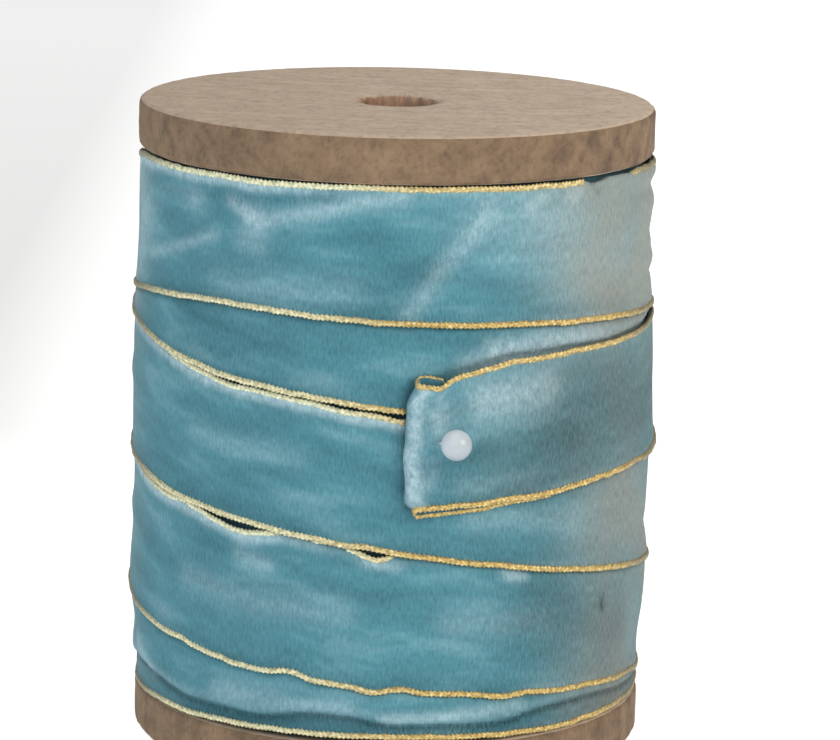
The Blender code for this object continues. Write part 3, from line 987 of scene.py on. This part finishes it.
@dataclass
class Ribbon:
    """The velvet ribbon: its stretches, made as sheets."""

    winding: Winding
    velvet: bpy.types.Material

    def sheet(self, name: str, strip: Strip, look: PileLook, step: float, breadths: int
              ) -> bpy.types.Object:
        """Make one stretch of the ribbon.

        Args:
            name: The piece's name.
            strip: Where it runs.
            look: Where its pile is crushed or dark.
            step: Distance between stations in mm.
            breadths: Faces across.

        Returns:
            The sheet, with its own map in metres of flat ribbon.
        """
        shape, along, across = mapped_grid(round(strip.reach() / step), breadths, strip.place)
        shape.normal_update()
        shape.faces.ensure_lookup_table()
        first = shape.faces[len(shape.faces) // 4]
        middle = first.calc_center_median()
        if first.normal.dot(Vector((middle.x, middle.y, 0))) < 0:
            bmesh.ops.reverse_faces(shape, faces=shape.faces)
        piece = finish_mesh(shape, name, self.velvet)
        mesh = piece.data
        corner = np.empty(len(mesh.loops), dtype=np.int32)
        mesh.loops.foreach_get("vertex_index", corner)
        flat = np.column_stack((along * strip.reach(), across * RIBBON_WIDTH)) * MM
        mesh.uv_layers.new(name="weave").data.foreach_set("uv", flat[corner].ravel())
        self.dress(mesh, strip, along, across, look)
        thick = piece.modifiers.new("ply", "SOLIDIFY")
        thick.thickness, thick.offset = self.winding.ply * MM, -1.0
        return piece

    def dress(self, mesh: bpy.types.Mesh, strip: Strip, along: np.ndarray, across: np.ndarray,
              look: PileLook) -> None:
        """Write where the pile is crushed and dark, and where painted highlight, painted shade and painted
        sheen lie.

        Args:
            mesh: The stretch's mesh.
            strip: Where it runs.
            along: Each vertex's share along.
            across: Each vertex's share across.
            look: Where its pile is crushed or dark.
        """
        turn = strip.turn(along)
        azimuth = self.winding.azimuth(turn)
        height = np.array([vert.co.z for vert in mesh.vertices]) / MM
        crush = sum((mark.amount(azimuth, height) for mark in look.pale), np.zeros_like(turn))
        margin = np.minimum(across, 1 - across) * INNER_WIDTH
        ragged = look.margin_mm * (1 + 0.25 * ripple(azimuth / 3.5, across * 2, 9.1)
                                   + 0.12 * ripple(azimuth / 0.6, across * 3, 2.1))
        rim = 1 - smoothstep((margin - ragged + 1.0) / 1.6)
        # The margin fades towards the right, sooner on the first and last turns.
        behind = smoothstep((np.abs(azimuth) - 100) / 55)
        fade = 1 - 0.85 * smoothstep((azimuth + np.where((turn > 1.5) & (turn < 2.6), -12, 30)) / 26)
        fade = fade * (1 - behind) + 0.35 * behind
        crush = crush + rim * fade * np.where(across > 0.5, look.margin_strength, 0.0)
        inside = strip.folded(along)
        crush = crush * smoothstep((0.8 - inside) / 0.3)
        layers = self.winding.covered(turn, height)
        right = smoothstep((azimuth - 22) / 18) * (1 - behind)
        # Painted highlight: a thin pale line just above each lower edge on the right.
        crush = crush + 0.28 * right * np.exp(-((margin - 0.7) / 0.45) ** 2) * (across < 0.5)
        # Painted shade just above each lower edge, lighter on the right.
        shadow = (0.26 - 0.12 * right) * np.exp(-np.maximum(margin - 0.4, 0) / 1.4) * (across < 0.5)
        bruise = sum((mark.amount(azimuth, height) for mark in look.dark), np.zeros_like(turn))
        below = -self.winding.above_fold(turn, height)
        hollow = (turn < 0.6) * smoothstep((below + 0.2) / 0.5)
        creased = (turn < 0.6) * np.exp(-((below - 0.5) / 0.55) ** 2)
        # Painted highlight on the bulge just above the first turn's fold.
        crush = crush + 0.2 * (turn < 0.6) * np.exp(-((below + 0.9) / 0.7) ** 2) * (1 - behind)
        # Painted shade: the right side of the middle turns is darkened.
        bruise = bruise + look.right_shade * smoothstep((azimuth - 4) / 34) * (turn < 3.7) * (1 - behind)
        # Painted shade in the hollow and crease under the first turn's fold.
        bruise = bruise + (0.18 * hollow + 0.32 * creased) * (1 - behind)
        # Painted sheen: the pile greys towards the right and near the left edge, where the light grazes it.
        sheen_place = azimuth + 6 * smoothstep((height - 60) / 6) - look.sheen_start
        ash = look.sheen_strength * smoothstep(sheen_place / look.sheen_span)
        ash = ash * (0.8 + 0.35 * ripple(azimuth / 14, height / 9, 1.4))
        ash = ash * (1 + 0.3 * smoothstep((height - 60) / 6))
        ash = ash + 0.35 * smoothstep((-azimuth - 62) / 28)
        ash = ash * (1 - behind)
        # Painted shade in the darkening attribute: above each lower edge, under later layers and on the
        # folded-under hem, added to the dark marks.
        for name, values in (("crush", np.clip(crush, 0, 1)),
                             ("bruise", bruise + shadow + 0.08 * (layers > 0.5) + 0.25 * inside),
                             ("ash", np.clip(ash, 0, 1))):
            mesh.attributes.new(name, "FLOAT", "POINT").data.foreach_set("value", values.astype(np.float32))


@dataclass
class Edging:
    """The overlocked edges: a flat run of fine gilt loops, with short legs into the pile."""

    gold: bpy.types.Material
    wide: float = 0.38
    thick: float = 0.20
    stitch: float = 0.62
    step: float = 0.15
    sides: int = 8
    leg_pitch: float = 0.62
    leg: float = 0.34

    def rails(self, strip: Strip, edge: Edge, along: np.ndarray) -> tuple[np.ndarray, ...]:
        """Find the yarn's line and its frame.

        Args:
            strip: The stretch of ribbon it edges.
            edge: Which edge it is on.
            along: Shares along the stretch.

        Returns:
            The line's points, and the directions along it, into the ribbon, and out of the surface.
        """
        side = np.full_like(along, edge.value)
        inner = np.full_like(along, 0.05 if edge is Edge.LOWER else 0.95)
        line = strip.place(along, side)
        ahead = np.gradient(line, axis=0)
        ahead /= np.linalg.norm(ahead, axis=1)[:, None]
        into = strip.place(along, inner) - line
        into -= ahead * np.sum(into * ahead, axis=1)[:, None]
        into /= np.linalg.norm(into, axis=1)[:, None]
        out = np.cross(into, ahead)
        if edge is Edge.UPPER:
            out = -out
        return line, ahead, into, out

    def yarn(self, name: str, strip: Strip, edge: Edge, seed: float, wear: float = 0.0
             ) -> bpy.types.Object:
        """Make one run of edging.

        Args:
            name: The piece's name.
            strip: The stretch of ribbon it edges.
            edge: Which edge it is on.
            seed: Picks its small irregularities.
            wear: How far its gilt has worn pale everywhere, from 0 to 1.

        Returns:
            The edging, closed at both ends.
        """
        length = strip.reach()
        stations = round(length / self.step)
        shares = np.linspace(0, 1, stations + 1)
        line, ahead, into, out = self.rails(strip, edge, shares)
        run = shares * length
        # Overlocking pulls the yarn into little loops, so its line wavers.
        loose = 0.09 * ripple(run / 1.9, run * 0, seed)
        swell = 1 + 0.18 * ripple(run / 1.3, run * 0, seed + 3)
        # Where a later turn lies over it, the yarn is pressed in.
        turn = strip.turn(shares)
        sunk = 0.02 + 0.33 * smoothstep((strip.winding.covered(turn, line[:, 2] / MM) - 0.6) / 0.3)
        if edge is Edge.UPPER:
            # The velvet is turned over the yarn for a short way, where the flange pinches it.
            tuck = smoothstep((turn - 3.822) / 0.01) * smoothstep((3.878 - turn) / 0.006)
            sunk, loose = sunk + 0.9 * tuck, loose + 0.5 * tuck
        hang = 0.12 + loose - (0.4 if edge is Edge.LOWER else 0.0) * strip.folded(shares)
        line = line + (out * -sunk[:, None] + into * hang[:, None]) * MM

        def place(along: np.ndarray, across: np.ndarray) -> np.ndarray:
            """Coil the yarn's loops round its line.

            Args:
                along: Shares along the stretch.
                across: Shares of the way round the yarn.

            Returns:
                Points of the yarn's surface.
            """
            number = np.rint(along * stations).astype(int)
            turn = math.tau * across
            loops = math.tau * run[number] / self.stitch - 0.9 * np.cos(turn)
            size = swell[number] * (1 + 0.24 * np.sin(loops))
            x, y = self.wide * np.cos(turn) * size, self.thick * np.sin(turn) * size
            return line[number] + MM * (into[number] * x[:, None] + out[number] * y[:, None])

        shape, along, across = mapped_grid(stations, self.sides, place)
        weave = shape.loops.layers.uv.new("weave")
        for face in shape.faces:
            for loop in face.loops:
                index = loop.vert.index
                loop[weave].uv = (along[index] * length * MM, across[index] * 2.6 * MM)
        bmesh.ops.remove_doubles(shape, verts=shape.verts, dist=2e-6)
        bmesh.ops.holes_fill(shape, edges=[edge_ for edge_ in shape.edges if edge_.is_boundary],
                             sides=self.sides)
        bmesh.ops.recalc_face_normals(shape, faces=shape.faces)
        self.legs(shape, line, ahead, into, out, run)
        piece = finish_mesh(shape, name, self.gold)
        places = np.array([vert.co[:] for vert in piece.data.vertices])
        worn = smoothstep((0.006 - places[:, 0]) / 0.022) * smoothstep((0.004 - places[:, 1]) / 0.01)
        worn = np.clip(worn * (0.75 + wear) + 0.4 * wear, 0, 1)
        # Painted shade at the spool's sides, from about 52 to 125 degrees round from the front.
        around = np.abs(np.degrees(np.arctan2(places[:, 0], -places[:, 1])))
        dull = 0.8 * smoothstep((around - 52) / 24) * smoothstep((125 - around) / 25)
        for title, values in (("worn", worn), ("dull", dull)):
            piece.data.attributes.new(title, "FLOAT", "POINT").data.foreach_set("value",
                                                                                values.astype(np.float32))
        return piece

    def legs(self, shape: bmesh.types.BMesh, line: np.ndarray, ahead: np.ndarray, into: np.ndarray,
             out: np.ndarray, run: np.ndarray) -> None:
        """Add the overlock's short legs.

        Args:
            shape: The edging so far.
            line: The yarn's points.
            ahead: Directions along it.
            into: Directions into the ribbon.
            out: Directions out of the surface.
            run: Distance of each point in mm.
        """
        comb = bmesh.new()
        every = max(1, round(self.leg_pitch / self.step))
        for number in range(every, len(line) - 1, every):
            length = self.leg * (1 + 0.5 * noise.noise(Vector((run[number] * 1.7, 0, 5.1))))
            lean = 0.5 * noise.noise(Vector((run[number] * 0.9, 3.3, 0)))
            way = (Vector(into[number]) + lean * Vector(ahead[number])).normalized()
            up = Vector(out[number])
            side = way.cross(up).normalized()
            turned = Matrix((side, up, way)).transposed().to_4x4()
            centre = Vector(line[number]) + way * (0.2 + length * 0.5) * MM - up * 0.02 * MM
            bmesh.ops.create_cone(comb, cap_ends=True, segments=4, radius1=0.08 * MM, radius2=0.05 * MM,
                                  depth=length * MM, matrix=Matrix.Translation(centre) @ turned)
        spare = bpy.data.meshes.new("comb")
        comb.to_mesh(spare)
        comb.free()
        shape.from_mesh(spare)
        bpy.data.meshes.remove(spare)


# ------------------------------------------------------------- hard pieces

@dataclass
class Flange:
    """One turned wooden disc with its bore, worn and nicked along its rims."""

    node: str
    seed: float
    radius: float = 35.0
    bore: float = 5.4
    rounding: float = 0.9
    steps: int = 360
    nicks: int = 12
    nick_reach: float = 1.6
    rim_reach: float = 1.2
    mouth_reach: float = 1.6

    def build(self, face: bpy.types.Material, rim: bpy.types.Material, bore: bpy.types.Material
              ) -> bpy.types.Object:
        """Make the disc.

        Args:
            face: Finish of its flat faces.
            rim: Finish of its rim.
            bore: Finish of its bore.

        Returns:
            The disc, in place of the plain one.
        """
        low, high = (corner[2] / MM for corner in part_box(self.node))
        rings = np.linspace(self.bore, self.radius, 22)
        outline = [(ring, low) for ring in rings]
        outline += [(self.radius, low + (high - low) * share) for share in (0.25, 0.5, 0.75)]
        outline += [(ring, high) for ring in rings[::-1]]
        outline += [(self.bore, low + (high - low) * share) for share in (0.75, 0.5, 0.25)]
        shape = lathe([(ring * MM, height * MM) for ring, height in outline], self.steps)
        sharp = [edge for edge in shape.edges
                 if all(abs(vert.co.to_2d().length - self.radius * MM) < 1e-6 for vert in edge.verts)
                 and all(min(abs(vert.co.z - low * MM),
                             abs(vert.co.z - high * MM)) < 1e-7 for vert in edge.verts)]
        bmesh.ops.bevel(shape, geom=sharp, offset=self.rounding * MM, affect="EDGES", segments=4,
                        profile=0.5,
                        material=-1)
        self.wear(shape, low, high)
        bmesh.ops.recalc_face_normals(shape, faces=shape.faces)
        for part in shape.faces:
            middle = part.calc_center_median()
            if middle.to_2d().length < (self.bore + 0.7) * MM and abs(part.normal.z) < 0.8:
                part.material_index = 2
            else:
                part.material_index = 0 if abs(part.normal.z) > 0.75 else 1
        piece = finish_mesh(shape, self.node.replace("_", " ").title().replace(" ", ""), face)
        piece.data.materials.append(rim)
        piece.data.materials.append(bore)
        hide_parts(self.node)
        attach(piece, Body.SPOOL.value)
        return piece

    def wear(self, shape: bmesh.types.BMesh, low: float, high: float) -> None:
        """Nick the rims and tear the bore's mouth.

        Args:
            shape: The clean disc.
            low: Height of its underside in mm.
            high: Height of its top in mm.
        """
        chooser = np.random.default_rng(int(self.seed * 10))
        places = chooser.uniform(0, 360, self.nicks)
        sizes = chooser.uniform(0.08, 0.3, self.nicks)
        for vert in shape.verts:
            ring = vert.co.to_2d().length / MM
            height = vert.co.z / MM
            angle = math.degrees(math.atan2(vert.co.y, vert.co.x)) % 360
            outward = Vector((vert.co.x, vert.co.y, 0)).normalized()
            if ring > self.radius - self.rim_reach:
                rough = noise.noise(Vector((angle * 0.35, height * 0.9, self.seed)))
                push = 0.10 * rough + 0.05 * noise.noise(Vector((angle * 1.4, height * 2.5, self.seed)))
                near_rim = max(0.0, 1 - abs(high - 0.5 - height) / 1.3)
                for place, size in zip(places, sizes):
                    gap = abs((angle - place + 180) % 360 - 180)
                    if gap < self.nick_reach:
                        push -= size * near_rim * (1 - gap / self.nick_reach)
                vert.co += outward * push * MM
            if ring < self.bore + self.mouth_reach:
                mouth = max(0.0, 1 - abs(high - height) / self.mouth_reach)
                mouth *= max(0.0, 1 - (ring - self.bore) / self.mouth_reach)
                torn = noise.noise(Vector((angle * 0.09, 1.0, self.seed))) + \
                    0.6 * noise.noise(Vector((angle * 0.31, 2.0, self.seed)))
                vert.co += outward * 0.75 * torn * mouth * MM
                vert.co.z -= (0.25 + 0.35 * abs(torn)) * mouth * MM


@dataclass
class InnerWinding:
    """The hidden layers of ribbon, which show only as ribbed edges in the gaps."""

    radius: float = 33.3
    inside: float = 16.05
    course: float = 2.6
    rib: float = 0.22
    fuller: float = 0.55
    steps: int = 128

    def build(self, velvet: bpy.types.Material) -> bpy.types.Object:
        """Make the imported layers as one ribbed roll.

        Args:
            velvet: Its finish.

        Returns:
            The roll.
        """
        low, high = (corner[2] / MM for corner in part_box("ribbon_winding"))
        heights = np.arange(low, high, self.course / 4)
        outline = [(self.inside, low)]
        fuller = self.fuller * smoothstep((heights - 24) / 8) * smoothstep((62 - heights) / 6)
        outline += [(self.radius + full + self.rib * math.sin(math.tau * height / self.course), height)
                    for height, full in zip(heights, fuller)]
        outline += [(self.radius, high), (self.inside, high)]
        shape = lathe([(ring * MM, height * MM) for ring, height in outline], self.steps)
        weave = shape.loops.layers.uv.new("weave")
        for part in shape.faces:
            for loop in part.loops:
                angle = math.atan2(loop.vert.co.y, loop.vert.co.x)
                loop[weave].uv = (angle * self.radius * MM, loop.vert.co.z)
        piece = finish_mesh(shape, "InnerRibbonLayers", velvet)
        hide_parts("ribbon_winding")
        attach(piece, Body.SPOOL.value)
        return piece


@dataclass
class PearlPin:
    """The pearl-headed pin that holds the tail down."""

    def build(self, nacre: bpy.types.Material, steel: bpy.types.Material) -> bpy.types.Object:
        """Make the bead and dress the wire.

        Args:
            nacre: Finish of the bead.
            steel: Finish of the wire.

        Returns:
            The bead.
        """
        low, high = (Vector(corner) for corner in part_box("pearl_head"))
        centre, radius = (low + high) / 2, (high.z - low.z) / 2
        shape = bmesh.new()
        bmesh.ops.create_uvsphere(shape, u_segments=48, v_segments=28, radius=radius)
        # A dipped bead is a touch flat where the lacquer drained to the wire.
        for vert in shape.verts:
            vert.co *= 1 - 0.02 * max(0.0, -vert.co.z / radius) ** 2
        way = Vector((centre.x, centre.y, 0)).normalized()
        turned = way.to_track_quat("Z", "Y").to_matrix().to_4x4()
        bmesh.ops.transform(shape, matrix=Matrix.Translation(centre) @ turned, verts=shape.verts)
        bmesh.ops.recalc_face_normals(shape, faces=shape.faces)
        bead = finish_mesh(shape, "PearlHead", nacre)
        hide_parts("pearl_head")
        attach(bead, Body.PIN.value)
        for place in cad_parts["pin_shank"].material_slots:
            place.material = steel
        return bead


# ------------------------------------------------------------------ studio

@dataclass
class Studio:
    """The floor, the lights and the camera."""

    eye: tuple[float, float, float] = (0.00005, -0.52616, 0.15901)
    yaw: float = 0.0072
    pitch: float = 0.2051
    roll: float = 0.0225
    lens: float = 167.25

    def camera(self) -> None:
        """Add the camera."""
        forward = Vector((math.sin(self.yaw) * math.cos(self.pitch),
                          math.cos(self.yaw) * math.cos(self.pitch),
                          -math.sin(self.pitch)))
        level = Vector((math.cos(self.yaw), -math.sin(self.yaw), 0))
        upright = level.cross(forward)
        right = math.cos(self.roll) * level + math.sin(self.roll) * upright
        top = math.cos(self.roll) * upright - math.sin(self.roll) * level
        data = bpy.data.cameras.new("camera")
        data.lens, data.sensor_width, data.sensor_fit = self.lens, 36.0, "HORIZONTAL"
        data.clip_start, data.clip_end = 0.01, 50.0
        camera = bpy.data.objects.new("camera", data)
        camera.matrix_world = Matrix.Translation(self.eye) @ Matrix((right, top,
                                                                     -forward)).transposed().to_4x4()
        bpy.context.scene.collection.objects.link(camera)
        bpy.context.scene.camera = camera

    def light(self, name: str, place: tuple[float, float, float], size: float, power: float,
              colour: str) -> None:
        """Add a soft light aimed at the object.

        Args:
            name: The light's name.
            place: Where it stands, in metres.
            size: Its side in metres.
            power: Its power in watts.
            colour: Its colour.
        """
        data = bpy.data.lights.new(name, "AREA")
        data.size, data.energy, data.color = size, power, linear(colour)[:3]
        lamp = bpy.data.objects.new(name, data)
        aim = Vector((0, 0, 0.045)) - Vector(place)
        lamp.matrix_world = Matrix.Translation(place) @ aim.to_track_quat("-Z", "Y").to_matrix().to_4x4()
        bpy.context.scene.collection.objects.link(lamp)

    def build(self, paper: bpy.types.Material) -> None:
        """Set up the studio.

        Args:
            paper: The floor's finish.
        """
        scene = bpy.context.scene
        scene.view_settings.view_transform = "Standard"
        world = bpy.data.worlds.new("studio")
        world.use_nodes = True
        sky = world.node_tree.nodes["Background"]
        sky.inputs["Color"].default_value = linear("ffffff")
        sky.inputs["Strength"].default_value = 0.46
        scene.world = world
        self.light("key_right", (0.75, -0.55, 0.55), 0.5, 5.2, "fff2e2")
        self.light("fill_front", (-0.3, -0.9, 0.5), 0.7, 2.0, "f6faff")
        self.light("top", (-0.1, 0.1, 1.0), 0.6, 3.4, "ffffff")
        shape = bmesh.new()
        bmesh.ops.create_circle(shape, cap_ends=True, segments=96, radius=8.0)
        floor = finish_mesh(shape, "floor", paper)
        self.camera()


def main() -> None:
    """Build every piece in order."""
    logging.basicConfig(level=logging.INFO, format="%(name)s: %(message)s")
    velvet, gold = VELVET.material(), GOLD.material()
    face, rim, bore = WOOD_FACE.material(), WOOD_RIM.material(), WOOD_BORE.material()
    Studio().build(PAPER.material())

    for flange in (Flange("bottom_flange", 1.7), Flange("top_flange", 5.3)):
        log.info("%s made", flange.build(face, rim, bore).name)
    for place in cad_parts["core"].material_slots:
        place.material = bore
    inner = InnerWinding().build(VELVET_IN_SHADE.material())
    log.info("%s made", inner.name)

    winding = Winding()
    wound, tail = WoundStrip(winding), TailStrip(winding)
    ribbon = Ribbon(winding, velvet)
    course = ribbon.sheet("WoundRibbon", wound,
                          PileLook(PALE_MARKS, DARK_MARKS, 1.55, 0.85, 26, 38, 0.97, 0.15), 0.95, 39)
    flap = ribbon.sheet("TailRibbon", tail, PileLook(FLAP_MARKS, FLAP_DARK_MARKS, 1.4, 0.3, 4, 50, 0.5, 0.0),
                        0.28, 42)
    edging = Edging(gold)
    course_edges = [edging.yarn("WoundLowerEdging", wound, Edge.LOWER, 1.0),
                    edging.yarn("WoundUpperEdging", wound, Edge.UPPER, 6.0, 0.5)]
    flap_edges = [edging.yarn("TailLowerEdging", tail, Edge.LOWER, 12.0),
                  edging.yarn("TailUpperEdging", tail, Edge.UPPER, 17.0, 0.2)]
    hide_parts("ribbon_course")
    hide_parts("tail_root", "ribbon_tail")
    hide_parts("course_lower_thread")
    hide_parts("course_upper_thread")
    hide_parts("tail_root_lower_thread", "tail_lower_thread")
    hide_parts("tail_root_upper_thread", "tail_upper_thread")
    for piece in (course, *course_edges):
        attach(piece, Body.SPOOL.value)
    for piece in (flap, *flap_edges):
        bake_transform(piece)
    for piece in (course, flap):
        log.info("%s made", piece.name)
    for piece in (*course_edges, *flap_edges):
        log.info("%s made", piece.name)
    wound.reach() * MM
    tail.reach() * MM

    log.info("%s made", PearlPin().build(PEARL.material(), STEEL.material()).name)


if __name__ == "__main__":
    main()
